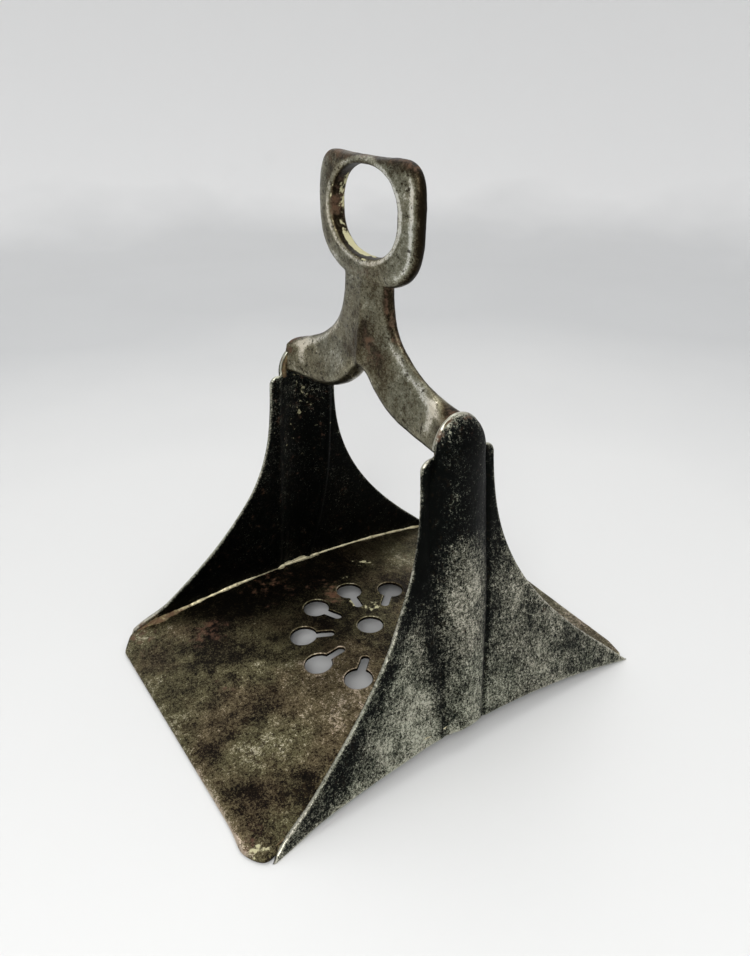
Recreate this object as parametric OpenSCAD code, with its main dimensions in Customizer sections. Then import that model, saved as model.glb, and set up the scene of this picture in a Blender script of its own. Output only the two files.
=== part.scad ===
// Riding stirrup with a broad sheet-steel footplate, two winged side plates and a forged bow.
// Origin: middle of the footprint, on the surface that the stirrup stands on.
// +X is across the stirrup, +Y runs from front to back, +Z is up.

/* [Footplate] */
// Length of the footplate, front to back
tread_l = 160; // [152:1:166]
// Length of the straight part of its front and back edges
tread_edge_w = 102; // [96:1:108]
// How far the footplate's back edge comes forward at its right corner
rear_cut = 4.4; // [0:0.2:5]
// Thickness of the footplate sheet
tread_t = 1.6; // [1.2:0.1:2.2]
// Rise of the footplate's arch at its middle
camber = 8.7; // [6:0.1:11]

/* [Footplate piercings] */
// Radius of the round hole in the middle
centre_hole_r = 4.8; // [4:0.1:6]
// Radius of each keyhole's round end
key_r = 4.9; // [4:0.1:5.2]
// Width of each keyhole's slot
key_slot_w = 2.9; // [2:0.1:4]
// Radius of the ring that the keyholes' round ends lie on
key_ring_r = 27.2; // [26.5:0.1:28]
// Number of keyholes in the ring
key_count = 10; // [7:1:10]
// Place of the round hole across the stirrup
centre_hole_x = -1.6; // [-2:0.1:2]
// Place of the keyhole ring's middle across the stirrup
key_ring_x = 2; // [-2:0.1:3]
// Angle of the first keyhole
key_start = -47; // [-60:1:-30]

/* [Side plates] */
// Width across the side plates at their lower corners
base_w = 121; // [116:1:126]
// Length of each side plate from corner to corner
wing_l = 150; // [144:1:154]
// Height of the shoulders beside each thumb
shoulder_h = 100; // [95:1:105]
// Width of a side plate across its shoulders
shoulder_w = 27; // [26:0.2:30]
// How far each side plate leans inwards over its height
lean = 16.3; // [14:0.1:18]
// How far each side plate is dished between foot and shoulder
dish = 2.4; // [0:0.1:4]
// How far the wings' upper edges sit towards the back
set_back = 1.4; // [0:0.1:2]
// How far the right thumb sits towards the back, and the left thumb towards the front
thumb_offset = 0.9; // [0:0.1:1.5]
// Thickness of the side plate sheet
side_t = 1.5; // [1.2:0.1:2]

/* [Ribs and thumbs] */
// Width of each thumb at the shoulders
thumb_w = 18.4; // [18:0.2:20]
// Width of the embossed rib at its widest
rib_w = 21.4; // [20:0.2:22]
// Width of the rib at its foot
rib_foot_w = 14.6; // [12:0.2:18]
// How far the rib stands out at the shoulders
rib_rise = 4.3; // [3:0.1:5]
// How far the rib still stands out at its foot
rib_foot_rise = 0.5; // [0:0.1:1]
// How far forward the rib's foot sits from its thumb
rib_skew = 4.6; // [0:0.2:5]
// Height of the thumb above the shoulders
thumb_h = 11.2; // [10:0.2:12]

/* [Bow] */
// Half width of the neck below the strap eye
neck_r = 11.8; // [10:0.1:13]
// Height of the neck's top, where the strap eye is welded on
neck_top = 142.4; // [141:0.2:143.6]
// Height of the point where the bow's arms part
crotch_h = 116; // [115:0.5:119]
// Half thickness of the bow along its upper edge
bow_top_t = 1.7; // [1.4:0.1:2.4]
// Half thickness of the neck's middle where it meets the strap eye
neck_t = 2.7; // [1.8:0.1:2.9]
// Half thickness of the bow along its lower edge
bow_low_t = 4.8; // [4:0.1:5.4]
// Half thickness of each arm where it fills its thumb
bow_end_t = 7; // [6.6:0.1:7.4]
// Turn of the hand-forged bow and its eye about the vertical
bow_turn = 1.2; // [0:0.1:2]
// Sideways lean of the bow and its eye, towards the right
bow_lean = 1.5; // [0:0.1:2]
// How far forward of the middle the bow sits
bow_forward = 0.8; // [0:0.1:1.2]

/* [Strap eye] */
// Width of the strap eye outside
eye_w = 50; // [48:0.2:52]
// Width of the opening for the strap
eye_open_w = 32.6; // [28:0.2:34]
// Height of the opening for the strap
eye_open_h = 25.6; // [24:0.2:27]
// Height of the middle of the opening
eye_open_z = 160.9; // [160:0.1:161.5]
// Top of the strap eye at its corners
eye_top = 176.8; // [176:0.1:178]
// Thickness of the strap eye, front to back
eye_t = 6.2; // [5:0.1:7]
// Thickness of the strap eye at its outer edge, as a share of that
eye_rim_share = 0.62; // [0.5:0.01:1]

/* [Brazing] */
// Leg of the brazed fillet along each footplate seam
seam_leg = 1.7; // [1:0.1:2.4]
// Radius of the brazed bead round each arm's end
bead_r = 0.9; // [0.6:0.1:1.2]

/* [Hidden] */
tread_hy = tread_l / 2;
wing_hy = wing_l / 2;
base_hx = base_w / 2;
shoulder_hy = shoulder_w / 2;
// The tread sheet stops just inside the side plates.
seam_clear = 0.05;
// Mesh density of the swept surfaces.
plate_rows = 28;
plate_cols = 36;
arm_rings = 26;
arm_sides = 10;
eye_rings = 60;
eye_sides = 14;
seam_rings = 36;
bead_rings = 20;
bead_sides = 8;
steel_warm = [0.36, 0.33, 0.29];
steel_dark = [0.20, 0.20, 0.19];
steel_grey = [0.46, 0.45, 0.42];
braze_gold = [0.66, 0.57, 0.36];

// ---- Surfaces shared by several pieces ----

// Height of the arched underside of the footplate and of the side plates' lower edges.
function arch_z(y, reach) = camber * pow(max(0, 1 - pow(y / reach, 2)), 1.1);

// Outline of a side plate: half its length at height z, and how far its middle sits towards the back.
function wing_half(z) =
    let (u = clamp01(z / shoulder_h))
    shoulder_hy + (wing_hy - shoulder_hy) * pow(1 - u, 2.75) * (1 + 0.7 * u);
function wing_mid(z, offset) =
    let (u = z / shoulder_h)
    lerp(set_back, offset, smooth((u - 0.2) / 0.7)) * smooth(u / 0.12);

// Outer face of a side plate away from its rib.
function wing_x(z) =
    let (u = z / shoulder_h)
    base_hx - lean * u - 4 * dish * u * (1 - u);

// Half width, middle and rise of the rib at height z. It narrows again where it becomes the thumb.
function rib_half(z) =
    let (u = z / shoulder_h)
    (lerp(rib_foot_w, rib_w, smooth(u / 0.6)) - (rib_w - thumb_w) * smooth((u - 0.88) / 0.12)) / 2;
function rib_mid(z, offset) =
    let (u = clamp01(z / shoulder_h))
    lerp(0, offset, u) - rib_skew * pow(1 - u, 3);
function rib_out(z) = lerp(rib_foot_rise, rib_rise, clamp01(z / shoulder_h));

// How far the rib and thumb lift the face at (y, z). The rib has soft edges; the thumb is a dome.
function rib_bump(y, z, offset) =
    let (a = (y - rib_mid(z, offset)) / rib_half(z), b = max(0, z - shoulder_h) / thumb_h,
         fullness = lerp(1.1, 0.5, smooth((z / shoulder_h - 0.86) / 0.14)))
    rib_out(z) * pow(max(0, 1 - a * a - b * b), fullness);

// Top edge of a side plate: rounded shoulders with the thumb between them.
shoulder_round = 3.2;
function top_z(y) =
    let (d = abs(y) - (shoulder_hy - shoulder_round), q = abs(y) / (thumb_w / 2))
    q < 1 ? shoulder_h + 0.5 + thumb_h * sqrt(1 - q * q)
          : shoulder_h - (d > 0 ? shoulder_round - sqrt(max(0, pow(shoulder_round, 2) - d * d)) : 0);

// Point of the outer face for s from -1 (front edge) to 1 (back edge), v from 0 (foot) to 1 (top).
function plate_point(s, v, inset, offset) =
    let (y = s * wing_half(v * shoulder_h) + wing_mid(v * shoulder_h, offset),
         z = v * shoulder_h + camber * (1 - s * s) * pow(1 - v, 2)
             + (top_z(s * shoulder_hy) - shoulder_h) * pow(v, 7))
    [wing_x(z) + rib_bump(y, z, offset) - inset, y, z];

// ---- Small helpers ----

function lerp(a, b, t) = a + (b - a) * t;
function clamp01(t) = min(1, max(0, t));
function smooth(t) = let (c = clamp01(t)) c * c * (3 - 2 * c);
function signed_pow(a, p) = sign(a) * pow(abs(a), p);

// Joins rings of points into one closed solid. A ring runs up one face and back down the other,
// so a capped end closes with strips between its two faces. A looped skin has no ends.
module skin(rings, looped = false) {
    n = len(rings[0]);
    m = len(rings);
    half = n / 2;
    spans = looped ? m : m - 1;
    sides = [for (j = [0:spans - 1]) for (i = [0:n - 1])
        let (a = j * n + i, b = j * n + (i + 1) % n, c = ((j + 1) % m) * n + (i + 1) % n,
             d = ((j + 1) % m) * n + i)
        each [[a, b, c], [a, c, d]]];
    strip = [for (i = [0:half - 2])
        each [[i, n - 1 - i, n - 2 - i], [i, n - 2 - i, i + 1]]];
    foot = looped ? [] : strip;
    head = looped ? [] : [for (t = strip) [for (k = [2, 1, 0]) t[k] + (m - 1) * n]];
    polyhedron([for (r = rings) each r], [for (t = concat(sides, foot, head)) t], convexity = 8);
}

module mirrored_left() {
    mirror([1, 0, 0]) children();
}

// Places the bow and its eye as the smith left them: a little forward, turned and leaning.
module as_forged() {
    translate([0, -bow_forward, shoulder_h])
        rotate([0, bow_lean, bow_turn])
            translate([0, 0, -shoulder_h]) children();
}

// ---- Footplate ----

// The footplate's half width grows a little towards its corners, with the side plates' inner faces.
function tread_half(y) = wing_x(arch_z(y, wing_hy)) - side_t - seam_clear;

module tread_outline() {
    steps = 24;
    right_end = wing_hy - rear_cut / 2;
    right = [for (i = [0:steps]) let (y = lerp(-wing_hy, right_end, i / steps)) [tread_half(y), y]];
    left = [for (i = [0:steps]) let (y = lerp(wing_hy, -wing_hy, i / steps)) [-tread_half(y), y]];
    polygon(concat(
        [[-tread_edge_w / 2, -tread_hy], [tread_edge_w / 2, -tread_hy]],
        right,
        [[tread_edge_w / 2, tread_hy - rear_cut], [0, tread_hy], [-tread_edge_w / 2, tread_hy]],
        left));
}

module tread_section() {
    steps = 40;
    ys = [for (i = [0:steps]) lerp(-tread_hy, tread_hy, i / steps)];
    polygon(concat(
        [for (y = ys) [y, arch_z(y, tread_hy)]],
        [for (i = [steps:-1:0]) [ys[i], arch_z(ys[i], tread_hy) + tread_t]]));
}

// A keyhole lies on +X of its ring: a round end, with its slot pointing back to the middle.
module keyhole() {
    slot_end = key_ring_r * 0.63;
    translate([key_ring_r, 0]) circle(r = key_r, $fn = 48);
    translate([slot_end, -key_slot_w / 2]) square([key_ring_r - slot_end, key_slot_w]);
    translate([slot_end, 0]) circle(d = key_slot_w, $fn = 24);
}

module piercings() {
    translate([centre_hole_x, 0]) circle(r = centre_hole_r, $fn = 48);
    translate([key_ring_x, 0])
        for (k = [0:key_count - 1])
            rotate(key_start - 360 * k / key_count) keyhole();
}

module tread_plate() {
    color(steel_warm)
        difference() {
            intersection() {
                rotate([90, 0, 90])
                    translate([0, 0, -base_w])
                        linear_extrude(2 * base_w) tread_section();
                translate([0, 0, -1]) linear_extrude(camber + tread_t + 2) tread_outline();
            }
            translate([0, 0, -1]) linear_extrude(camber + tread_t + 2) piercings();
        }
}

// ---- Side plates ----

module side_plate(offset) {
    spans = [for (i = [0:plate_cols]) -1 + 2 * i / plate_cols];
    skin([for (j = [0:plate_rows])
        let (v = j / plate_rows)
        concat(
            [for (s = spans) plate_point(s, v, 0, offset)],
            [for (i = [plate_cols:-1:0]) plate_point(spans[i], v, side_t, offset)])]);
}

module right_side_plate() {
    color(steel_dark) side_plate(thumb_offset);
}

module left_side_plate() {
    color(steel_dark) mirrored_left() side_plate(-thumb_offset);
}

// ---- Bow ----

// Reach of the arms: they end inside the thumbs' hollows.
arm_end_x = base_hx - lean - side_t + 1.2;
arm_low_z = shoulder_h - 0.8;

// Lower edge of the bow: it drops steeply from the crotch, then runs out almost level.
function bow_low_z(x) = arm_low_z + (crotch_h - arm_low_z) * pow(1 - clamp01(x / arm_end_x), 3.6);

// Upper edge from the neck's top (t = 0) to the arm's end (t = 1).
neck_foot_z = 131;
function bow_top_point(t) =
    let (a = [neck_r, neck_top], b = [neck_r, neck_foot_z - 6], c = [neck_r + 9.4, neck_foot_z - 12.4],
         d = [arm_end_x, arm_low_z + 12.6], e = 1 - t)
    a * e * e * e + 3 * b * e * e * t + 3 * c * e * t * t + d * t * t * t;

// Lower edge: down the middle of the neck to the crotch, then out along the arm.
neck_share = 0.34;
function bow_low_point(t) =
    t < neck_share ? [-0.4, lerp(neck_top, crotch_h, t / neck_share)]
                   : let (x = arm_end_x * pow((t - neck_share) / (1 - neck_share), 1.1))
                     [x - 0.4 * (1 - x / arm_end_x), bow_low_z(x)];

// Half thickness across an arm, w from 0 (lower edge) to 1 (upper edge).
function bow_half_t(t, w) =
    let (spread = pow(clamp01((t - 0.7) / 0.3), 2),
         low = lerp(lerp(neck_t, bow_low_t, smooth(t / neck_share)), bow_end_t, spread),
         top = lerp(bow_top_t, bow_end_t * 0.72, spread))
    lerp(low, top, w);

// One section of an arm. Both edges are rounded once the arm has left the neck's middle.
function arm_ring(t) =
    let (low = bow_low_point(t), top = bow_top_point(t), round_low = smooth((t - neck_share) / 0.08))
    [for (face = [-1, 1]) for (i = [0:arm_sides - 1])
        let (k = face < 0 ? i : arm_sides - 1 - i,
             w = 0.5 - 0.5 * cos(180 * (k + 0.5) / arm_sides),
             edge = min(w / 0.22, 1), rim = min((1 - w) / 0.14, 1),
             bulge = sqrt(1 - pow(1 - rim, 2)) * lerp(1, sqrt(1 - pow(1 - edge, 2)), round_low),
             p = lerp(low, top, w))
        [p[0], face * bow_half_t(t, w) * bulge, p[1]]];

module arm() {
    skin([for (j = [0:arm_rings]) arm_ring(j / arm_rings)]);
}

module bow() {
    color(steel_grey)
        as_forged() {
            arm();
            mirrored_left() arm();
        }
}

// ---- Strap eye ----

weld_depth = 2;
eye_bottom = neck_top - weld_depth;
eye_mid = (eye_top + eye_bottom) / 2 + 0.4;

// Outer edge: rounded below and fuller at its right, squarer above, with the top bar worn hollow
// between its corners.
function eye_outer(a) =
    let (p = sin(a) > 0 ? 2 / 5.2 : cos(a) < 0 ? 2 / 2.3 : 2 / 2.9,
         h = sin(a) < 0 ? eye_mid - eye_bottom : eye_top - eye_mid,
         x = eye_w / 2 * signed_pow(cos(a), p),
         z = eye_mid + h * signed_pow(sin(a), p),
         worn = sin(a) > 0 ? pow(max(0, 1 - pow(x / (eye_w * 0.36), 2)), 1) : 0)
    [x, z - worn];

function eye_inner(a) =
    [eye_open_w / 2 * signed_pow(cos(a), 0.88), eye_open_z + eye_open_h / 2 * signed_pow(sin(a), 0.88)];

// Section of the eye at angle a: a rounded bar between the inner and outer edges, thinner towards the outer.
function eye_ring(a) =
    let (inner = eye_inner(a), outer = eye_outer(a))
    [for (i = [0:eye_sides - 1])
        let (b = 360 * (i + 0.5) / eye_sides,
             w = 0.5 + 0.5 * signed_pow(cos(b), 0.55),
             p = lerp(inner, outer, w))
        [p[0], eye_t / 2 * lerp(1, eye_rim_share, w) * signed_pow(sin(b), 0.55), p[1]]];

module strap_eye() {
    color(steel_grey)
        as_forged() skin([for (j = [0:eye_rings - 1]) eye_ring(360 * (j + 0.5) / eye_rings)], looped = true);
}

// ---- Brazing ----

// Fillet in the corner between the footplate's top face and a side plate's inner face.
module tread_braze() {
    reach = wing_hy - 3;
    skin([for (j = [0:seam_rings])
        let (y = lerp(-reach, reach, j / seam_rings),
             z = arch_z(y, tread_hy) + tread_t,
             x = wing_x(z) - side_t,
             leg = seam_leg * (1 + 0.6 * pow(y / reach, 4)))
        [[x - leg, y, z - 0.1], [x + 0.1, y, z - 0.1], [x + 0.1, y, z + leg], [x - leg * 0.4, y, z + leg * 0.4]]]);
}

module right_tread_braze() {
    color(braze_gold) tread_braze();
}

module left_tread_braze() {
    color(braze_gold) mirrored_left() tread_braze();
}

// Bead in the crease between an arm's end and the rim of its thumb, from one shoulder over to the other.
module arm_braze(offset) {
    ry = thumb_w / 2 - side_t;
    rz = thumb_h - 0.4;
    skin([for (j = [0:bead_rings])
        let (a = lerp(-4, 184, j / bead_rings), z = shoulder_h + rz * sin(a), x = wing_x(z) - side_t * 0.6)
        [for (i = [0:bead_sides - 1])
            let (b = 360 * (i + 0.5) / bead_sides, d = bead_r * cos(b))
            [x + bead_r * sin(b), offset + (ry + d) * cos(a), shoulder_h + (rz + d) * sin(a)]]]);
}

module right_arm_braze() {
    color(braze_gold) arm_braze(thumb_offset);
}

module left_arm_braze() {
    color(braze_gold) mirrored_left() arm_braze(-thumb_offset);
}

tread_plate();
left_side_plate();
right_side_plate();
bow();
strap_eye();
left_tread_braze();
right_tread_braze();
left_arm_braze();
right_arm_braze();
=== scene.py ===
"""Looks of a riding stirrup with a broad footplate: hand-forged, brazed and well worn steel.

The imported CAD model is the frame: metres, +Z up, the front edge towards -Y. Each piece repeats the CAD
surface's formulas on a finer mesh, in millimetres until the mesh is made, and adds what handwork and
wear leave behind: waves, rolled rims, burrs, run braze, oxide, rubbed metal, rust and dried residue.
"""

import math

import bmesh
import bpy
import numpy as np
from mathutils import Matrix, Vector, geometry, kdtree, noise


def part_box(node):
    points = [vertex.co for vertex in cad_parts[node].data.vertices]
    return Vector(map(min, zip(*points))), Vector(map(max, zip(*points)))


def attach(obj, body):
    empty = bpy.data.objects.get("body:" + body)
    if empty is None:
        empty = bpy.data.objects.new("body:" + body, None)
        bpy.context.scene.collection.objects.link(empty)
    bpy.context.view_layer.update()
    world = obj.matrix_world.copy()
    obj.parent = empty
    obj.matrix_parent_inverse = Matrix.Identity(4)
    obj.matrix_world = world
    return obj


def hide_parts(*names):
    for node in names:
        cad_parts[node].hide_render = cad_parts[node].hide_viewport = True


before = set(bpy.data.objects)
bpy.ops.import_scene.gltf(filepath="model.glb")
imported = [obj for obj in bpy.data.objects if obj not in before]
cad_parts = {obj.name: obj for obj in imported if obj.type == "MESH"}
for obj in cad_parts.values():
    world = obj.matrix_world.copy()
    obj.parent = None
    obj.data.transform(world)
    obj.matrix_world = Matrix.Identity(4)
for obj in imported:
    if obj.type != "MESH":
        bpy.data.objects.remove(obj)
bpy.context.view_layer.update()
MM = 0.001


def high_corner(node):
    """The corner of a CAD node's box that lies furthest along X, Y and Z."""
    return np.array(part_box(node)[1]) / MM


# ---- Sizes in millimetres: the big ones from the frame, the rest as in the CAD model ----

# Footplate
BASE_HX, WING_HY, _ = high_corner("right_side_plate")
_, TREAD_HY, TREAD_CREST = high_corner("tread_plate")
TREAD_T = 1.6
CAMBER = TREAD_CREST - TREAD_T
TREAD_EDGE_HX = 51.0
REAR_CUT = 4.4
SEAM_CLEAR = 0.05

# Side plates, with their rib and its thumb. TIP_LIFT is how far the front tips are bent up, right and left.
SHOULDER_H = 100.0
SHOULDER_HY = 13.5
SHOULDER_ROUND = 3.2
LEAN = 16.3
DISH = 2.4
SET_BACK = 1.4
THUMB_OFFSET = 0.9
SIDE_T = 1.5
THUMB_W = 18.4
THUMB_H = 11.2
RIB_W = 21.4
RIB_FOOT_W = 14.6
RIB_RISE = 4.3
RIB_FOOT_RISE = 0.5
RIB_SKEW = 4.6
TIP_LIFT = {1: 1.0, -1: 2.2}
PLATE_ROWS, PLATE_COLS = 300, 320

# Piercings: a round hole, and keyholes in a ring that point at it
CENTRE_HOLE_X = -1.6
CENTRE_HOLE_R = 4.8
KEY_R = 4.9
KEY_SLOT_W = 2.9
KEY_RING_R = 27.2
KEY_RING_X = 2.0
KEY_COUNT = 10
KEY_TURNS = [math.radians(-47.0 - 360 * k / KEY_COUNT) for k in range(KEY_COUNT)]
KEY_SLOT_END = KEY_RING_R * 0.63

# Bow: angles in degrees
NECK_R = 11.8
NECK_TOP = 142.4
NECK_FOOT = 131.0
NECK_SHARE = 0.34
CROTCH_H = 116.0
BOW_TOP_T = 1.7
NECK_T = 2.7
BOW_LOW_T = 4.8
BOW_END_T = 7.0
BOW_TURN = 1.2
BOW_LEAN = 1.5
BOW_FORWARD = 0.8
ARM_END_X = BASE_HX - LEAN - SIDE_T + 1.2
ARM_LOW_Z = SHOULDER_H - 0.8
CROTCH_SET = -0.4

# Strap eye. Its opening is an oval of exponent 2 / OPENING_POWER.
EYE_W = 50.0
EYE_OPEN_W = 32.6
EYE_OPEN_H = 25.6
EYE_OPEN_Z = 160.9
EYE_TOP = 176.8
EYE_BOTTOM = NECK_TOP - 2.0
EYE_MID = (EYE_TOP + EYE_BOTTOM) / 2 + 0.4
EYE_T = 6.2
EYE_RIM_SHARE = 0.62
OPENING_POWER = 0.88
WELD_Z = 141.5

# Brazing
SEAM_LEG = 1.5
BEAD_R = 0.9


# ---- Small helpers ----

def lerp(a, b, t):
    return a + (b - a) * t


def smooth(t):
    c = np.clip(t, 0, 1)
    return c * c * (3 - 2 * c)


def signed_pow(a, p):
    return np.sign(a) * np.abs(a) ** p


def field(points, size, seed, octaves=3):
    """Smooth noise, about -1 to 1, whose lumps are about size across. points is (..., 3)."""
    shift = Vector((seed * 17.3, seed * -9.1, seed * 5.7))
    flat = np.reshape(points, (-1, 3)) / size
    values = [noise.fractal(Vector(p) + shift, 0.7, 2.1, octaves) for p in flat]
    return np.reshape(values, np.shape(points)[:-1])


def unit(vectors):
    return vectors / np.maximum(np.linalg.norm(vectors, axis=-1, keepdims=True), 1e-9)


def bell(distance, width):
    """A soft line: 1 where the distance is 0, fading out over the width to either side."""
    return np.exp(-(distance / width) ** 2)


def spot(p, q, centre_p, centre_q, radius):
    """A soft round mark: 1 at its centre, fading out over its radius."""
    return np.exp(-((p - centre_p) ** 2 + (q - centre_q) ** 2) / radius ** 2)


def marks(p, q, placed):
    """The sum of soft round marks, each given as its strength, its centre and its radius."""
    return sum(strength * spot(p, q, *where) for strength, *where in placed)


def flat_xyz(p):
    """Points (n, 2) as points (n, 3) at height 0."""
    return np.column_stack([p, np.zeros(len(p))])


def distance_to(points, targets):
    """Distance from each of points (..., 3) to the nearest of targets (n, 3)."""
    tree = kdtree.KDTree(len(targets))
    for i, p in enumerate(targets):
        tree.insert(p, i)
    tree.balance()
    flat = np.reshape(points, (-1, 3))
    return np.reshape([tree.find(p)[2] for p in flat], np.shape(points)[:-1])


def rolled(depth, half):
    """Half thickness of a sheet at a depth in from its rim, where the rim is a half round."""
    return half * np.sqrt(1 - (1 - np.minimum(depth / half, 1)) ** 2)


def make_piece(name, points, faces, material, nodes, masks, flat=0):
    """A smooth-shaded mesh that rides on the one body and stands for the CAD nodes. The last flat faces
    are a hidden joint's cap, and are shaded flat."""
    mesh = bpy.data.meshes.new(name)
    mesh.from_pydata((np.asarray(points) * MM).tolist(), [], [list(map(int, f)) for f in faces])
    mesh.polygons.foreach_set("use_smooth", np.arange(len(faces)) < len(faces) - flat)
    for mask, values in masks.items():
        kind, field_name = ("FLOAT_VECTOR", "vector") if np.ndim(values) == 2 else ("FLOAT", "value")
        attribute = mesh.attributes.new(mask, kind, "POINT")
        attribute.data.foreach_set(field_name, np.ravel(values).astype(np.float32))
    mesh.materials.append(material)
    piece = bpy.data.objects.new(name, mesh)
    bpy.context.scene.collection.objects.link(piece)
    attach(piece, "root")
    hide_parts(*nodes)


def sheet_faces(rows, cols, flip):
    """Faces of a closed sheet: an outer and an inner grid that share their rim."""
    outer = np.arange(rows * cols).reshape(rows, cols)
    inner = outer.copy()
    inner[1:-1, 1:-1] = rows * cols + np.arange((rows - 2) * (cols - 2)).reshape(rows - 2, cols - 2)
    quads = [np.stack([g[:-1, :-1], g[:-1, 1:], g[1:, 1:], g[1:, :-1]], -1).reshape(-1, 4)
             for g in (outer, inner)]
    quads[1] = quads[1][:, ::-1]
    faces = np.vstack(quads)
    return faces[:, ::-1] if flip else faces


def tube_faces(rings, sides, looped, flip=False):
    """Faces of a swept tube; a tube with ends is closed by two end polygons."""
    index = np.arange(rings * sides).reshape(rings, sides)
    if looped:
        index = np.vstack([index, index[:1]])
    nxt = np.roll(index, -1, axis=1)
    faces = np.stack([index[:-1], nxt[:-1], nxt[1:], index[1:]], -1).reshape(-1, 4).tolist()
    if not looped:
        faces += [index[0][::-1].tolist(), index[-1].tolist()]
    return [f[::-1] for f in faces] if flip else faces


# ---- Materials ----

class Graph:
    """Builds one material's nodes, a call at a time."""

    def __init__(self, name):
        self.material = bpy.data.materials.new(name)
        self.material.use_nodes = True
        self.tree = self.material.node_tree
        self.tree.nodes.clear()

    def node(self, kind, inputs=(), **settings):
        made = self.tree.nodes.new(kind)
        for key, value in settings.items():
            setattr(made, key, value)
        for key, value in dict(inputs).items():
            if isinstance(value, bpy.types.NodeSocket):
                self.tree.links.new(value, made.inputs[key])
            else:
                made.inputs[key].default_value = value
        return made

    def math(self, operation, a, b=0.0, clamp=False):
        return self.node("ShaderNodeMath", {0: a, 1: b}, operation=operation, use_clamp=clamp).outputs[0]

    def noise(self, vector, scale, detail, roughness, distortion=0.0):
        inputs = {"Vector": vector, "Scale": scale, "Detail": detail, "Roughness": roughness,
                  "Distortion": distortion}
        return self.node("ShaderNodeTexNoise", inputs).outputs[0]

    def swing(self, source, gain):
        """A noise's departure from its middle value, times a gain."""
        return self.math("MULTIPLY", self.math("SUBTRACT", source, 0.5), gain)

    def mask(self, name):
        return self.node("ShaderNodeAttribute", attribute_name=name).outputs["Fac"]

    def ramp(self, value, stops):
        made = self.node("ShaderNodeValToRGB", {0: value})
        points = made.color_ramp.elements
        while len(points) < len(stops):
            points.new(0.5)
        for point, (place, colour) in zip(points, stops):
            point.position = place
            point.color = (*colour, 1)
        return made.outputs[0]

    def level(self, value, stops):
        return self.ramp(value, [(place, (v, v, v)) for place, v in stops])

    def threshold(self, value, low, high):
        inputs = {0: value, 1: low, 2: high}
        return self.node("ShaderNodeMapRange", inputs, interpolation_type="SMOOTHSTEP").outputs[0]

    def mix(self, factor, a, b):
        inputs = {0: factor, 6: a, 7: b}
        return self.node("ShaderNodeMix", inputs, data_type="RGBA", clamp_factor=True).outputs[2]

    def surface(self, colour, rough, relief, metal=0.0):
        """Ends the graph in a shader, with a bump made from the relief's inputs."""
        bump = self.node("ShaderNodeBump", relief).outputs[0]
        inputs = {"Base Color": colour, "Metallic": metal, "Roughness": rough, "Normal": bump}
        shader = self.node("ShaderNodeBsdfPrincipled", inputs)
        self.node("ShaderNodeOutputMaterial", {"Surface": shader.outputs[0]})

    def multiply(self, a, b):
        inputs = {0: 1.0, 6: a, 7: b}
        return self.node("ShaderNodeMix", inputs, data_type="RGBA", blend_type="MULTIPLY").outputs[2]


# Noise that breaks up the steel: lumps a metre, octaves, roughness and, for some, distortion.
PATCHES = (42, 3, 0.55)
MOTTLING = (190, 6, 0.7)
SPECKLE = (1150, 3, 0.7, 0.7)
FINE_GRAIN = (2600, 2, 0.6, 0.4)
HUE_PATCHES = (30, 4, 0.6)
RUST_EDGES = (330, 6, 0.7)
CRUST_CLOTS = (480, 5, 0.6)
PITS = (620, 4, 0.65)
# The same, but in lumps a millimetre of the grain mask.
STREAKS = (2.2, 4, 0.6)

RUST = (0.085, 0.034, 0.012)
DARK_RUST = (0.075, 0.034, 0.011)
CRUST = (0.44, 0.41, 0.24)
PIT = (0.022, 0.015, 0.008)
RELIEF = 0.05
# How far rust hides the steel's colour, and how far rust or crust hides its metal shine.
COVER = 0.85
# What rust or crust adds to the roughness.
COVER_ROUGH = 0.25

# Colours from the darkest tone to the brightest.
SIDE_SHADES = [(0.0, (0.0035, 0.0040, 0.0036)), (0.30, (0.013, 0.0145, 0.013)), (0.46, (0.086, 0.086, 0.066)),
               (0.70, (0.190, 0.186, 0.143)), (1.0, (0.48, 0.46, 0.38))]
TREAD_SHADES = [(0.0, (0.005, 0.0045, 0.0035)), (0.27, (0.014, 0.011, 0.007)), (0.40, (0.062, 0.053, 0.029)),
                (0.68, (0.116, 0.104, 0.052)), (1.0, (0.48, 0.44, 0.32))]
BOW_SHADES = [(0.0, (0.012, 0.009, 0.005)), (0.30, (0.070, 0.058, 0.036)), (0.48, (0.147, 0.142, 0.099)),
              (0.70, (0.25, 0.243, 0.180)), (1.0, (0.75, 0.74, 0.66))]
BRAZE_SHADES = [(0.0, (0.06, 0.042, 0.02)), (0.4, (0.28, 0.23, 0.12)), (1.0, (0.72, 0.66, 0.44))]


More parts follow.
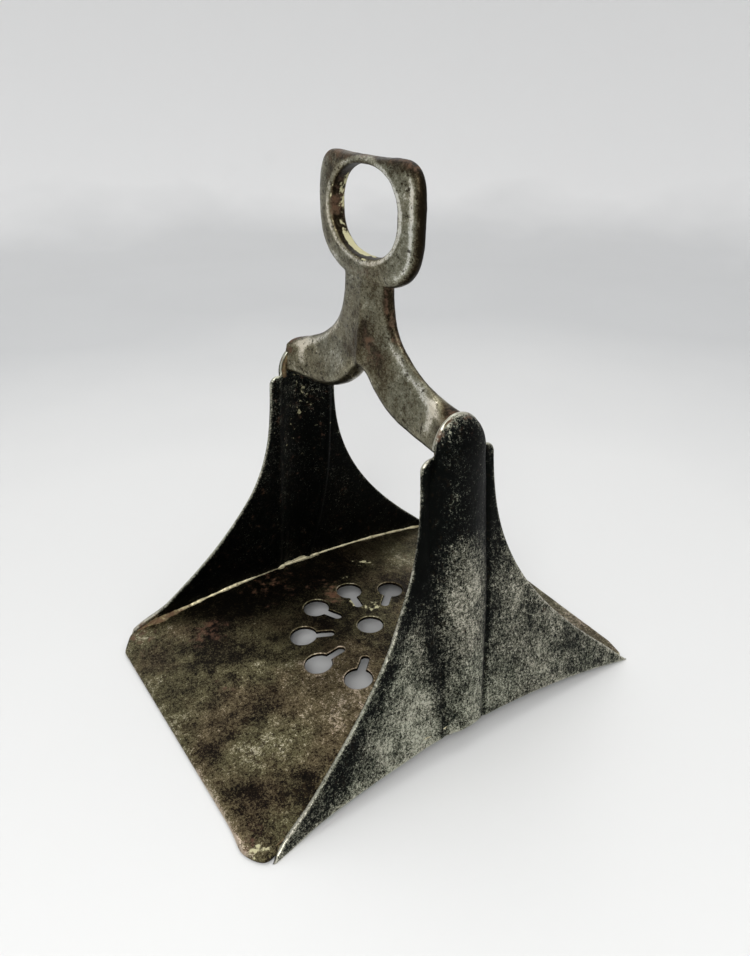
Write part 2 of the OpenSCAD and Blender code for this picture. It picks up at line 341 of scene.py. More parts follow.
def aged_steel(name, shades, gains, bias, stretch, rust=RUST, dull=0.62, bright=0.34, pitted=0.5,
               tint=(1.0, 1.0, 1.0)):
    """Steel from black oxide to rubbed metal. The masks say where it is worn and where painted highlight or
    painted shade lightens or darkens it, and where it is rusty or crusted, and noise breaks them up. gains
    are how strongly broad patches, mottling, speckle, fine grain and streaks shift the tone, and bias is the
    tone without wear. A small stretch draws the streaks out. dull and bright are the roughness of the darkest
    and the brightest tone, pitted is how strong the pits are, and tint multiplies the colour in patches."""
    g = Graph(name)
    place = g.node("ShaderNodeTexCoord").outputs["Object"]
    grain = g.node("ShaderNodeAttribute", attribute_name="grain").outputs["Vector"]
    drawn = {0: grain, 1: (1.0, stretch, 1.0)}
    along = g.node("ShaderNodeVectorMath", drawn, operation="MULTIPLY").outputs[0]
    patches, mottling, speckle = [g.noise(place, *kind) for kind in (PATCHES, MOTTLING, SPECKLE)]
    sources = [patches, mottling, speckle, g.noise(place, *FINE_GRAIN), g.noise(along, *STREAKS)]
    tone = g.math("ADD", g.mask("worn"), bias)
    for source, gain in zip(sources, gains):
        tone = g.math("ADD", tone, g.swing(source, gain))
    tone = g.math("MAXIMUM", g.math("MINIMUM", tone, 1.0), 0.0)
    rusty = g.math("ADD", g.mask("rust"), g.swing(g.noise(place, *RUST_EDGES), 2.4))
    rusty = g.threshold(rusty, 0.35, 0.8)
    crusty = g.math("ADD", g.mask("crust"), g.swing(g.noise(place, *CRUST_CLOTS), 2.6))
    crusty = g.threshold(crusty, 0.45, 0.72)
    pits = g.math("ADD", g.noise(place, *PITS), g.math("MULTIPLY", patches, 0.25))
    pits = g.threshold(pits, 0.70, 0.76)

    colour = g.ramp(tone, shades)
    hue = g.threshold(g.noise(place, *HUE_PATCHES), 0.42, 0.60)
    colour = g.mix(hue, colour, g.multiply(colour, (*tint, 1)))
    colour = g.mix(g.math("MULTIPLY", pits, pitted), colour, (*PIT, 1))
    colour = g.mix(g.math("MULTIPLY", rusty, COVER), colour, (*rust, 1))
    colour = g.mix(crusty, colour, (*CRUST, 1))

    covered = g.math("MAXIMUM", rusty, crusty)
    gloss = g.level(tone, [(0.0, dull), (0.45, (dull + bright) / 2), (1.0, bright)])
    rough = g.math("ADD", gloss, g.math("MULTIPLY", covered, COVER_ROUGH), clamp=True)
    metal = g.math("SUBTRACT", 1.0, g.math("MULTIPLY", covered, COVER), clamp=True)
    height = g.math("ADD", g.math("MULTIPLY", speckle, 0.5), mottling)
    height = g.math("ADD", height, g.math("MULTIPLY", crusty, 1.2))
    height = g.math("SUBTRACT", height, g.math("MULTIPLY", pits, 0.8))
    relief = {"Strength": 0.55, "Distance": RELIEF * MM, "Height": height}
    g.surface(colour, rough, relief, metal)
    return g.material


# ---- Side plates ----

def wing_half(z):
    u = np.clip(z / SHOULDER_H, 0, 1)
    return SHOULDER_HY + (WING_HY - SHOULDER_HY) * (1 - u) ** 2.75 * (1 + 0.7 * u)


def wing_mid(z, offset):
    u = z / SHOULDER_H
    return lerp(SET_BACK, offset, smooth((u - 0.2) / 0.7)) * smooth(u / 0.12)


def wing_x(z):
    u = z / SHOULDER_H
    return BASE_HX - LEAN * u - 4 * DISH * u * (1 - u)


def rib_half(z):
    u = z / SHOULDER_H
    return (lerp(RIB_FOOT_W, RIB_W, smooth(u / 0.6)) - (RIB_W - THUMB_W) * smooth((u - 0.88) / 0.12)) / 2


def rib_mid(z, offset):
    u = np.clip(z / SHOULDER_H, 0, 1)
    return lerp(0, offset, u) - RIB_SKEW * (1 - u) ** 3


def rib_bump(y, z, offset):
    a = (y - rib_mid(z, offset)) / rib_half(z)
    b = np.maximum(0, z - SHOULDER_H) / THUMB_H
    fullness = lerp(1.1, 0.5, smooth((z / SHOULDER_H - 0.86) / 0.14))
    rise = lerp(RIB_FOOT_RISE, RIB_RISE, np.clip(z / SHOULDER_H, 0, 1))
    return rise * np.maximum(0, 1 - a * a - b * b) ** fullness


def top_z(y):
    d = np.maximum(0, np.abs(y) - (SHOULDER_HY - SHOULDER_ROUND))
    q = np.minimum(np.abs(y) / (THUMB_W / 2), 1)
    shoulder = SHOULDER_H - (SHOULDER_ROUND - np.sqrt(np.maximum(0, SHOULDER_ROUND ** 2 - d * d))) * (d > 0)
    return np.where(q < 1, SHOULDER_H + 0.5 + THUMB_H * np.sqrt(1 - q * q), shoulder)


def creases(y, z, offset):
    """Hammered grooves beside the rib, the short flute at its foot and a shallow valley in the front wing."""
    w = rib_half(z)
    a = (y - rib_mid(z, offset)) / w
    span = smooth(z / 12) * (1 - smooth((z - 98) / 4))
    back_groove = 0.55 * bell((a - 1.0) * w, 0.8)
    front_groove = 0.40 * bell((a + 1.0) * w, 1.3)
    flute = 0.45 * bell((a + 0.62) * w, 1.1) * (1 - smooth((z - 20) / 25))
    valley = 0.9 * bell((a + 1.9) * w, 7) * smooth(z / 20) * (1 - smooth((z - 70) / 25))
    return span * (back_groove + front_groove + flute) + valley


def plate_x(y, z, offset):
    return wing_x(z) + rib_bump(y, z, offset) - creases(y, z, offset)


def plate_normals(y, z, offset):
    step = 0.06
    slope_y = (plate_x(y + step, z, offset) - plate_x(y - step, z, offset)) / (2 * step)
    slope_z = (plate_x(y, z + step, offset) - plate_x(y, z - step, offset)) / (2 * step)
    return unit(np.stack([np.ones_like(y), -slope_y, -slope_z], -1))


def side_name(side):
    return "right" if side > 0 else "left"


def side_face(side):
    """The outer face as grids, before it is mirrored: s from -1 at the front rim to 1 at the back, the
    height it has in the flat sheet, and its points."""
    offset = side * THUMB_OFFSET
    across = -np.cos(np.pi * np.arange(PLATE_COLS + 1) / PLATE_COLS)
    up = (1 - np.cos(np.pi * np.arange(PLATE_ROWS + 1) / PLATE_ROWS)) / 2
    s, v = np.meshgrid(across, up)
    height = v * SHOULDER_H
    y = s * wing_half(height) + wing_mid(height, offset)
    z = height + CAMBER * (1 - s * s) * (1 - v) ** 2 + (top_z(s * SHOULDER_HY) - SHOULDER_H) * v ** 7
    x = plate_x(y, z, offset)
    tip = smooth((-s - 0.75) / 0.2) * smooth(height / 1.5) * (1 - smooth((height - 2) / 10))
    z = z + TIP_LIFT[side] * tip
    if side > 0:
        # The front tip is bent outwards, and the rim behind it dips.
        x += 1.1 * smooth((-s - 0.88) / 0.12) * (1 - smooth(z / 5))
        z = np.maximum(z - 1.4 * bell(y + 67, 5) * (1 - smooth(z / 8)), 0.02)
    return s, height, np.stack([x, y, z], -1)


# Rubbed and dark marks on the right plate's outer face: strength, y, z and radius.
RIGHT_PLATE_MARKS = [
    (0.14, 24, 46, 8), (0.12, -6, 54, 8), (0.22, -22, 23, 9), (0.16, -14, 10, 10), (-0.24, 47, 19, 8),
    (-0.16, 15, 22, 6), (-0.14, 27, 34, 5), (-0.14, -48, 31, 8), (-0.22, -41, 42, 8), (-0.14, 14, 52, 8),
    (-0.26, -50, 14, 9), (0.14, -7, 33, 8),
]


def outer_wear_and_painted_light(side, s, face, depth, lip):
    """The outer face is rubbed on the wings and every rim. A painted highlight lies down the side of the rib
    that faces the light and on the thumb's round top, and painted shade in the grooves beside the rib.
    """
    y, z = face[..., 1], face[..., 2]
    u = z / SHOULDER_H
    a = (y - rib_mid(z, side * THUMB_OFFSET)) / rib_half(z)
    # Painted highlight: a lighter band down the side of the rib that faces the light.
    crown_highlight = bell(a - 0.30, 0.55) * smooth((0.84 - u) / 0.35)
    # Painted shade: dark lines in the grooves on either side of the rib.
    narrow = lerp(0.18, 0.40, smooth((u - 0.12) / 0.35))
    hollow = bell(a + 1.12, narrow) * smooth(u / 0.1) + 0.9 * bell(a - 1.03, 0.12)
    wings = smooth((np.abs(a) - 1.2) / 1.2) * (1 - smooth((u - 0.45) / 0.3))
    front_dark = bell(s + 0.88, 0.13) * smooth(u / 0.04) * (1 - smooth((u - 0.75) / 0.2))
    low_front = smooth((0.34 - u) / 0.2) * smooth((-a - 1.2) / 0.5) * smooth((s + 0.85) / 0.15)
    upper = smooth((u - 0.46) / 0.50)
    edge = (0.75 + 0.35 * field(face, 7, 12 + side)) * np.exp(-depth / 0.42) + 0.8 * lip
    worn = (0.28 * crown_highlight + 0.16 * wings - 0.36 * hollow - 0.34 * front_dark + 0.03 * low_front
            - 0.42 * upper + 0.26 * thumb_cap_highlight_and_rust(z, depth) + edge)
    return worn + marks(y, z, RIGHT_PLATE_MARKS) if side > 0 else worn


# The thumb's round top: a painted highlight on the outer face, and rust on it.
def thumb_cap_highlight_and_rust(z, depth):
    return np.exp(-depth / 4.2) * smooth((z - 102) / 4)


def side_plate(side, material):
    """side is 1 for the right plate and -1 for the left, its mirror image apart from the thumb's offset."""
    offset = side * THUMB_OFFSET
    s, height, face = side_face(side)
    y, z = face[..., 1], face[..., 2]
    rim = np.vstack([face[0], face[-1], face[:, 0], face[:, -1]])
    depth = distance_to(face, rim)
    normal = plate_normals(y, z, offset)
    wave = 0.16 * field(face, 17, 3 + side) + 0.05 * field(face, 5, 6 + side)
    middle = face - normal * (SIDE_T / 2) + normal * (wave * smooth(depth / 4))[..., None]
    thick = rolled(depth, SIDE_T / 2)[..., None]
    outer = middle + normal * thick
    inner = middle - normal * thick
    within = (slice(1, -1), slice(1, -1))
    points = np.vstack([outer.reshape(-1, 3), inner[within].reshape(-1, 3)])
    points[:, 0] *= side
    points[:, 2] = np.maximum(points[:, 2], 0)

    u = z / SHOULDER_H
    a = (y - rib_mid(z, offset)) / rib_half(z)
    lip = np.exp(-depth / 1.4) * smooth((z - 95) / 4) * (0.7 + 0.5 * field(face, 4, 9 + side))
    left_tip = smooth((-y - 62) / 3) * smooth((WING_HY - 3 + y) / 2 + 1) * (side < 0)
    # The inner face: dark with oxide and with painted shade, lighter at its rims and lip.
    inner_wear_and_painted_shade = (-0.50 + 0.95 * np.exp(-depth / 0.45) + 0.8 * lip + 0.16 * smooth((u - 0.78) / 0.15)
                  + 0.75 * left_tip)
    speckled = 0.34 * smooth((u - 0.55) / 0.3) * bell(a, 1.2)
    grain = np.stack([s * wing_half(z), height, 0 * s], -1)
    both = {
        "worn": (outer_wear_and_painted_light(side, s, face, depth, lip), inner_wear_and_painted_shade),
        "rust": (0.02 + 0.45 * thumb_cap_highlight_and_rust(z, depth), 0.15 + 0.1 * speckled + 0.3 * left_tip),
        "crust": (np.full_like(u, -0.6), speckled - 0.14),
    }
    masks = {mask: np.concatenate([np.ravel(out), np.ravel(inn[within])])
             for mask, (out, inn) in both.items()}
    masks["grain"] = np.vstack([grain.reshape(-1, 3), grain[within].reshape(-1, 3)])
    faces = sheet_faces(PLATE_ROWS + 1, PLATE_COLS + 1, side < 0)
    make_piece(f"{side_name(side)}_plate_sheet", points, faces, material, [f"{side_name(side)}_side_plate"],
               masks)


# ---- Footplate ----

def arch_z(y, reach):
    return CAMBER * np.maximum(0, 1 - (y / reach) ** 2) ** 1.1


def tread_half(y):
    return wing_x(arch_z(y, WING_HY)) - SIDE_T - SEAM_CLEAR


def resample(points, spacing):
    """Even steps round a closed outline."""
    closed = np.vstack([points, points[:1]])
    run = np.concatenate([[0], np.cumsum(np.linalg.norm(np.diff(closed, axis=0), axis=1))])
    at = np.linspace(0, run[-1], int(run[-1] / spacing), endpoint=False)
    return np.stack([np.interp(at, run, closed[:, k]) for k in (0, 1)], -1)


def tread_outline():
    right_y = np.linspace(-WING_HY, WING_HY - REAR_CUT / 2, 60)
    left_y = np.linspace(WING_HY, -WING_HY, 60)
    front = [[-TREAD_EDGE_HX, -TREAD_HY], [TREAD_EDGE_HX, -TREAD_HY]]
    back = [[TREAD_EDGE_HX, TREAD_HY - REAR_CUT], [0, TREAD_HY], [-TREAD_EDGE_HX, TREAD_HY]]
    right = np.stack([tread_half(right_y), right_y], -1)
    left = np.stack([-tread_half(left_y), left_y], -1)
    outline = resample(np.vstack([front, right, back, left]), 0.7)
    for _ in range(5):
        outline = (np.roll(outline, 1, 0) + 2 * outline + np.roll(outline, -1, 0)) / 4
    pulled_corner = spot(outline[:, 0], outline[:, 1], 56, -79, math.sqrt(60))
    return outline + pulled_corner[:, None] * [2.3, -1.7]


def keyhole_outline(grow):
    """A keyhole along +X, its metal edge moved back by grow: the round end, then its slot."""
    r, half = KEY_R + grow, KEY_SLOT_W / 2 + grow
    start = math.asin(half / r)
    centre = KEY_RING_R
    turn = np.linspace(math.pi - start, start - math.pi, 44)
    round_end = np.stack([centre + r * np.cos(turn), r * np.sin(turn)], -1)
    steps = np.linspace(centre - r * math.cos(start), KEY_SLOT_END, 12)[1:-1]
    cap = np.linspace(-math.pi / 2, -1.5 * math.pi, 14)
    tip = np.stack([KEY_SLOT_END + half * np.cos(cap), half * np.sin(cap)], -1)
    lower = np.stack([steps, np.full(len(steps), -half)], -1)
    return np.vstack([round_end, lower, tip, lower[::-1] * [1, -1]])


def holes(grow):
    """Outlines of every piercing, with their metal edges moved back by grow."""
    turn = np.linspace(0, 2 * math.pi, 48, endpoint=False)
    r = CENTRE_HOLE_R + grow
    yield np.stack([CENTRE_HOLE_X + r * np.cos(turn), r * np.sin(turn)], -1)
    for a in KEY_TURNS:
        spin = np.array([[math.cos(a), math.sin(a)], [-math.sin(a), math.cos(a)]])
        yield keyhole_outline(grow) @ spin + [KEY_RING_X, 0]


def hole_gap(p):
    """Distance from points (n, 2) to the nearest piercing; negative inside one."""
    gap = np.hypot(p[:, 0] - CENTRE_HOLE_X, p[:, 1]) - CENTRE_HOLE_R
    for a in KEY_TURNS:
        along = (p[:, 0] - KEY_RING_X) * math.cos(a) + p[:, 1] * math.sin(a)
        across = -(p[:, 0] - KEY_RING_X) * math.sin(a) + p[:, 1] * math.cos(a)
        past = along - np.clip(along, KEY_SLOT_END, KEY_RING_R)
        slot = np.hypot(past, across) - KEY_SLOT_W / 2
        gap = np.minimum(gap, np.minimum(np.hypot(along - KEY_RING_R, across) - KEY_R, slot))
    return gap


def inside(p, outline):
    """True for points (n, 2) inside a closed outline."""
    a, b = outline, np.roll(outline, -1, 0)
    found = np.zeros(len(p), bool)
    for (x0, y0), (x1, y1) in zip(a, b):
        crosses = (y0 > p[:, 1]) != (y1 > p[:, 1])
        with np.errstate(divide="ignore", invalid="ignore"):
            found ^= crosses & (p[:, 0] < (x1 - x0) * (p[:, 1] - y0) / (y1 - y0) + x0)
    return found


# How far in from the metal's edges the footplate has rows of points of their own, so that edges are round.
EDGE_STEPS = [0.0, 0.03, 0.12, 0.3, 0.55, 0.85]


def tread_plan(outline):
    """The footplate seen from above: its points, its triangles, and True for points on a metal edge."""
    tangent = unit(np.roll(outline, -1, 0) - np.roll(outline, 1, 0))
    inward = np.stack([-tangent[:, 1], tangent[:, 0]], -1)
    loops = [outline + inward * step for step in EDGE_STEPS]
    for step in EDGE_STEPS:
        loops += list(holes(step))
    rng = np.random.default_rng(11)
    pitch = 1.1
    gx, gy = np.meshgrid(np.arange(-62, 62, pitch), np.arange(-82, 82, pitch * 0.87))
    gx[1::2] += pitch / 2
    spread = np.stack([gx.ravel(), gy.ravel()], -1) + rng.uniform(-0.18, 0.18, (gx.size, 2))
    away = distance_to(flat_xyz(spread), flat_xyz(outline))
    spread = spread[inside(spread, outline) & (away > 1.3) & (hole_gap(spread) > 1.25)]
    edges, first = [], 0
    for loop in loops:
        n = len(loop)
        edges += [(first + i, first + (i + 1) % n) for i in range(n)]
        first += n
    every = [Vector(c) for c in np.vstack([*loops, spread])]
    found = geometry.delaunay_2d_cdt(every, edges, [], 0, 1e-5, False)
    p = np.array([tuple(c) for c in found[0]])
    tris = np.array(found[2])
    centre = p[tris].mean(1)
    tris = tris[inside(centre, outline) & (hole_gap(centre) > 1e-3)]
    used = np.unique(tris)
    renumber = -np.ones(len(p), int)
    renumber[used] = np.arange(len(used))
    p, tris = p[used], renumber[tris]
    area = np.cross(p[tris[:, 1]] - p[tris[:, 0]], p[tris[:, 2]] - p[tris[:, 0]])
    tris[area < 0] = tris[area < 0][:, ::-1]
    edge_loops = np.vstack(loops[:1] + loops[len(EDGE_STEPS):len(EDGE_STEPS) + KEY_COUNT + 1])
    edge_points = {tuple(c) for c in np.round(edge_loops, 4)}
    return p, tris, np.array([tuple(c) in edge_points for c in np.round(p, 4)])


# Marks on the footplate's upper face: strength, x, y and radius.
TREAD_DARK = [
    (0.16, -38, -69, 9), (0.30, -27, -53, 9), (0.26, 8, -50, 8), (0.18, 15, -74, 6), (0.16, 14, -59, 6),
    (0.34, 48, -57, 9), (0.30, 37, -71, 8), (0.10, -17, -43, 9), (0.30, -14, -14, 12), (0.20, 16, 0, 16),
    (0.30, -16, 26, 12),
]
TREAD_LIGHT = [
    (0.10, 24, -34, 17), (0.10, 26, -62, 8), (0.30, -30, 38, 9), (0.15, -45, -60, 7), (0.05, 0, -36, 12),
    (0.12, 28, 62, 20),
]
TREAD_RUST = [
    (0.42, -37, -53, 7), (0.32, -6, -59, 7), (0.50, -26, -1, 8), (0.35, 52, -77, 8), (0.38, -53, -73, 7),
    (0.25, -50, -20, 12),
]
TREAD_CRUST = [
    (1.10, -40, 22, 7), (1.3, -17, 2, 4), (1.3, -10, 8, 5), (1.1, -34, 9, 3), (1.25, 56, -77, 5),
    (0.6, -55, -60, 6), (0.5, -53, -73, 5),
]


def tread_masks(p, gap_out, gap_hole, edge):
    """The masks of the upper face, then of the lower face's points, which leave out the metal edges."""
    x, y = p[:, 0], p[:, 1]
    far = smooth((-x - 10) / 30)
    back_edge = np.exp(-gap_out / 1.2) * (y > TREAD_HY - 8)
    # The front edge: rubbed, and brighter still around x = 34 with a painted highlight.
    front_edge_wear_and_highlight = np.exp(-(y + TREAD_HY) / 1.2) * (0.35 + spot(x, y, 34, -80, 18))
    far_stain = smooth((-x - 27) / 12) * smooth((y + 62) / 22) * (1 - smooth((y - 14) / 14))
    # Round the piercings: a rubbed bright rim, and painted shade on the holes' walls.
    hole_rim_wear_and_shade = 0.45 * bell(gap_hole - 0.35, 0.22) - 0.5 * (gap_hole < 0.15)
    worn = (marks(x, y, TREAD_LIGHT) - marks(x, y, TREAD_DARK) + 0.55 * front_edge_wear_and_highlight + 0.35 * back_edge
            - 0.42 * far_stain + hole_rim_wear_and_shade)
    rust = marks(x, y, TREAD_RUST) + 0.12 * far
    crust = marks(x, y, TREAD_CRUST) + 0.55 * bell(x + 56, 2.5) * smooth((y + 30) / 30) - 0.60
    below = np.ones(np.count_nonzero(~edge))
    grain = flat_xyz(p)
    return {
        "worn": np.concatenate([worn, -0.25 * below]),
        "rust": np.concatenate([rust, 0.2 * below]),
        "crust": np.concatenate([crust, -0.8 * below]),
        "grain": np.vstack([grain, grain[~edge]]),
    }


def tread(material):
    half = TREAD_T / 2
    outline = tread_outline()
    p, tris, edge = tread_plan(outline)
    gap_out = distance_to(flat_xyz(p), flat_xyz(outline))
    gap_hole = np.maximum(hole_gap(p), 0)
    depth = np.where(edge, 0, np.minimum(gap_out, gap_hole))
    x, y = p[:, 0], p[:, 1]
    calm = smooth(np.minimum(gap_out, 8) / 8)
    wave = 0.35 * field(flat_xyz(p), 30, 21) * calm + 0.08 * field(flat_xyz(p), 8, 22)
    burr = 0.22 * bell(gap_hole, 0.9)
    front_sag = -0.42 * smooth((-y - 66) / 14) * smooth((x - 34) / 16)
    middle = arch_z(y, TREAD_HY) + half + np.clip(wave + burr, -0.5, 0.6) + front_sag
    middle = np.maximum(middle, half * 0.9)
    thick = rolled(depth, half)
    upper = np.column_stack([p, middle + thick])
    lower = np.column_stack([p, middle - thick])[~edge]
    low_index = np.arange(len(p))
    low_index[~edge] = len(p) + np.arange(len(lower))
    faces = np.vstack([tris, low_index[tris][:, ::-1]])
    make_piece("tread_sheet", np.vstack([upper, lower]), faces, material, ["tread_plate"],
               tread_masks(p, gap_out, gap_hole, edge))


# ---- Bow ----

def as_forged(points):
    """Sets the bow and its eye as the smith left them: a little forward, turned and leaning."""
    turn = Matrix.Rotation(math.radians(BOW_TURN), 3, "Z") @ Matrix.Rotation(math.radians(BOW_LEAN), 3, "Y")
    pivot = np.array([0, 0, SHOULDER_H])
    return (points - pivot) @ np.array(turn).T + pivot + [0, -BOW_FORWARD, 0]


def bow_low_z(x):
    return ARM_LOW_Z + (CROTCH_H - ARM_LOW_Z) * (1 - np.clip(x / ARM_END_X, 0, 1)) ** 3.6


def bow_top(t):
    """The bow's upper outline: a curve from the neck's top to the arm's end."""
    ends = [(NECK_R, NECK_TOP), (NECK_R, NECK_FOOT - 6), (NECK_R + 9.4, NECK_FOOT - 12.4),
            (ARM_END_X, ARM_LOW_Z + 12.6)]
    shares = [(1 - t) ** 3, 3 * (1 - t) ** 2 * t, 3 * (1 - t) * t * t, t ** 3]
    return np.stack([sum(end[k] * share for end, share in zip(ends, shares)) for k in (0, 1)], -1)


def bow_low(t):
    """The bow's inner line: down the middle of the neck, then along the arm's lower edge."""
    neck = np.stack([np.full_like(t, CROTCH_SET), lerp(NECK_TOP, CROTCH_H, t / NECK_SHARE)], -1)
    x = ARM_END_X * (np.maximum(t - NECK_SHARE, 0) / (1 - NECK_SHARE)) ** 1.1
    arm_edge = np.stack([x + CROTCH_SET * (1 - x / ARM_END_X), bow_low_z(x)], -1)
    return np.where((t < NECK_SHARE)[..., None], neck, arm_edge)


def bow_half_t(t, w):
    """Half the bow's thickness at a share t of its length and w from its inner line to its outline."""
    spread = np.clip((t - 0.7) / 0.3, 0, 1) ** 2
    low = lerp(lerp(NECK_T, BOW_LOW_T, smooth(t / NECK_SHARE)), BOW_END_T, spread)
    return lerp(low, lerp(BOW_TOP_T, BOW_END_T * 0.72, spread), w)


def arm(side):
    """One arm as a closed tube: its points (rings, sides, 3) and faces."""
    rings, half_sides = 120, 26
    t = np.linspace(0, 1, rings)[:, None]
    k = np.concatenate([np.arange(half_sides), np.arange(half_sides)[::-1]])
    face = np.repeat([-1, 1], half_sides)
    w = (0.5 - 0.5 * np.cos(np.pi * (k + 0.5) / half_sides))[None, :]
    edge, rim = np.minimum(w / 0.22, 1), np.minimum((1 - w) / 0.20, 1)
    round_low = smooth((t - NECK_SHARE) / 0.08)
    bulge = np.sqrt(1 - (1 - rim) ** 2) * lerp(1, np.sqrt(1 - (1 - edge) ** 2), round_low)
    t, w = np.broadcast_arrays(t, w)
    low, top = bow_low(t), bow_top(t)
    p = low + (top - low) * w[..., None]
    thick = bow_half_t(t, w) * bulge * face
    points = np.stack([p[..., 0] * side, thick, p[..., 1]], -1)
    return points.reshape(-1, 3), tube_faces(rings, 2 * half_sides, False, side < 0)


def remeshed(points, faces, voxel, smoothing):
    """One skin round overlapping solids: voxel remeshed, then smoothed as a file and emery would."""
    mesh = bpy.data.meshes.new("draft")
    mesh.from_pydata((points * MM).tolist(), [], faces)
    draft = bpy.data.objects.new("draft", mesh)
    bpy.context.scene.collection.objects.link(draft)
    skin = draft.modifiers.new("skin", "REMESH")
    skin.mode = "VOXEL"
    skin.voxel_size = voxel * MM
    soften = draft.modifiers.new("soften", "SMOOTH")
    soften.factor = 0.5
    soften.iterations = smoothing
    shown = draft.evaluated_get(bpy.context.evaluated_depsgraph_get())
    done = shown.to_mesh()
    out = np.empty(len(done.vertices) * 3)
    done.vertices.foreach_get("co", out)
    normals = np.empty(len(done.vertices) * 3)
    done.vertices.foreach_get("normal", normals)
    polygons = [list(f.vertices) for f in done.polygons]
    shown.to_mesh_clear()
    bpy.data.objects.remove(draft)
    bpy.data.meshes.remove(mesh)
    return out.reshape(-1, 3) / MM, normals.reshape(-1, 3), polygons


# ---- Strap eye ----

def eye_outer(a):
    below = np.sin(a) < 0
    h = np.where(below, EYE_MID - EYE_BOTTOM, EYE_TOP - EYE_MID)
    p = np.where(below, np.where(np.cos(a) < 0, 2 / 2.3, 2 / 2.9), 2 / 5.2)
    x = EYE_W / 2 * signed_pow(np.cos(a), p)
    z = EYE_MID + h * signed_pow(np.sin(a), p)
    hollow = np.where(below, 0, np.maximum(0, 1 - (x / (EYE_W * 0.36)) ** 2))
    return np.stack([x, z - hollow], -1)


def eye_inner(a):
    return np.stack([EYE_OPEN_W / 2 * signed_pow(np.cos(a), OPENING_POWER),
                     EYE_OPEN_Z + EYE_OPEN_H / 2 * signed_pow(np.sin(a), OPENING_POWER)], -1)


def eye_bar():
    """The eye as a closed ring: squarer round the opening than outside, with one corner pinched."""
    rings, sides = 300, 56
    a = (2 * np.pi * (np.arange(rings) + 0.5) / rings)[:, None]
    b = (2 * np.pi * (np.arange(sides) + 0.5) / sides)[None, :]
    squareness = np.where(np.cos(b) < 0, 0.42, 0.62)
    w = 0.5 + 0.5 * signed_pow(np.cos(b), squareness)
    a, w = np.broadcast_arrays(a, w)
    p = eye_inner(a) + (eye_outer(a) - eye_inner(a)) * w[..., None]
    x, z = p[..., 0], p[..., 1]
    pinch = spot(x, z, -EYE_W / 2, EYE_TOP, math.sqrt(60))
    y = EYE_T / 2 * lerp(1, EYE_RIM_SHARE, w) * signed_pow(np.sin(b), squareness)
    points = np.stack([x + 0.8 * pinch, y, z + 0.5 * pinch], -1)
    return points.reshape(-1, 3), tube_faces(rings, sides, True)


# ---- The forging: bow and eye in one skin, parted at the weld ----

def split(points, faces, above):
    """The part of a closed skin above or below the weld, capped flat: its points, its faces and how many of
    the last faces are caps."""
    draft = bmesh.new()
    verts = [draft.verts.new(p) for p in points]
    for face in faces:
        draft.faces.new([verts[i] for i in face])
    whole = draft.verts[:] + draft.edges[:] + draft.faces[:]
    cut = bmesh.ops.bisect_plane(draft, geom=whole, plane_co=(0, 0, WELD_Z), plane_no=(0, 0, 1),
                                 clear_inner=above, clear_outer=not above)
    rim = [e for e in cut["geom_cut"] if isinstance(e, bmesh.types.BMEdge)]
    caps = bmesh.ops.triangle_fill(draft, edges=rim, normal=(0, 0, -1 if above else 1))["geom"]
    caps = [f for f in caps if isinstance(f, bmesh.types.BMFace)]
    draft.verts.index_update()
    hidden = set(caps)
    shown = [f for f in draft.faces if f not in hidden]
    kept = np.array([v.co for v in draft.verts])
    polygons = [[v.index for v in f.verts] for f in shown + caps]
    draft.free()
    return kept, polygons, len(caps)


def forging(material):
    """The arms and the eye, run together at the neck, filed smooth, then parted where they were welded."""
    parts = [arm(1), arm(-1), eye_bar()]
    faces, first = [], 0
    for points, polygons in parts:
        faces += [[i + first for i in f] for f in polygons]
        first += len(points)
    points, normals, faces = remeshed(np.vstack([p for p, _ in parts]), faces, 0.42, 7)
    points = points + normals * (0.14 * field(points, 12, 31) + 0.05 * field(points, 3.5, 32))[:, None]
    bow(*split(points, faces, False), material)
    eye(*split(points, faces, True), material)


# Marks on the bow: strength, x, z and radius.
BOW_STAINS = [(0.30, 3, 127, 5), (0.26, 8, 122, 4), (0.22, 0, 120, 4), (0.16, 12, 116, 5), (0.12, -6, 118, 5)]
BOW_RUBBED = [(0.10, -12, 112, 9)]
BOW_RUST = [(0.45, 4, 124, 5), (0.35, 9, 119, 4), (0.25, 2, 134, 4)]


def bow(points, faces, caps, material):
    x, y, z = points.T
    out = np.abs(x)
    top = bow_top(np.linspace(0, 1, 200))
    rim = np.column_stack([top[:, 0], np.zeros(len(top)), top[:, 1]])
    from_top = distance_to(np.column_stack([out, 0 * y, z]), rim)
    along = smooth((out - 10) / 26)
    # Painted highlight: a bright band along each arm just below its upper edge.
    highlight_band = bell(from_top - 2.0, 1.3) * smooth((130 - z) / 8)
    back_edge = np.exp(-from_top / 0.7)
    low_edge = np.exp(-np.abs(z - bow_low_z(out)) / 1.6) * smooth((out - 1) / 3)
    ends = smooth((out - ARM_END_X + 6) / 4) * smooth((z - 104) / 5)
    # Painted highlight: a bright spot where each arm swells at its end.
    end_highlight = bell(out - ARM_END_X + 8.5, 2.2) * smooth((z - 103) / 5)
    neck_edge = bell(from_top - 1.2, 0.9) * smooth((z - 122) / 5) * (x > 0)
    worn = (0.03 + (0.30 + 0.16 * along) * highlight_band - 0.35 * back_edge + 0.08 * low_edge + 0.40 * end_highlight
            - 0.34 * ends - 0.42 * neck_edge + marks(x, z, BOW_RUBBED) - marks(x, z, BOW_STAINS))
    rust = 0.04 + 0.45 * ends + 0.38 * neck_edge + 0.25 * back_edge + marks(x, z, BOW_RUST)
    masks = {"worn": worn, "rust": rust, "crust": -0.75 + 0.25 * ends, "grain": np.column_stack([z, out, y])}
    make_piece("bow_forging", as_forged(points), faces, material, ["bow"], masks, caps)


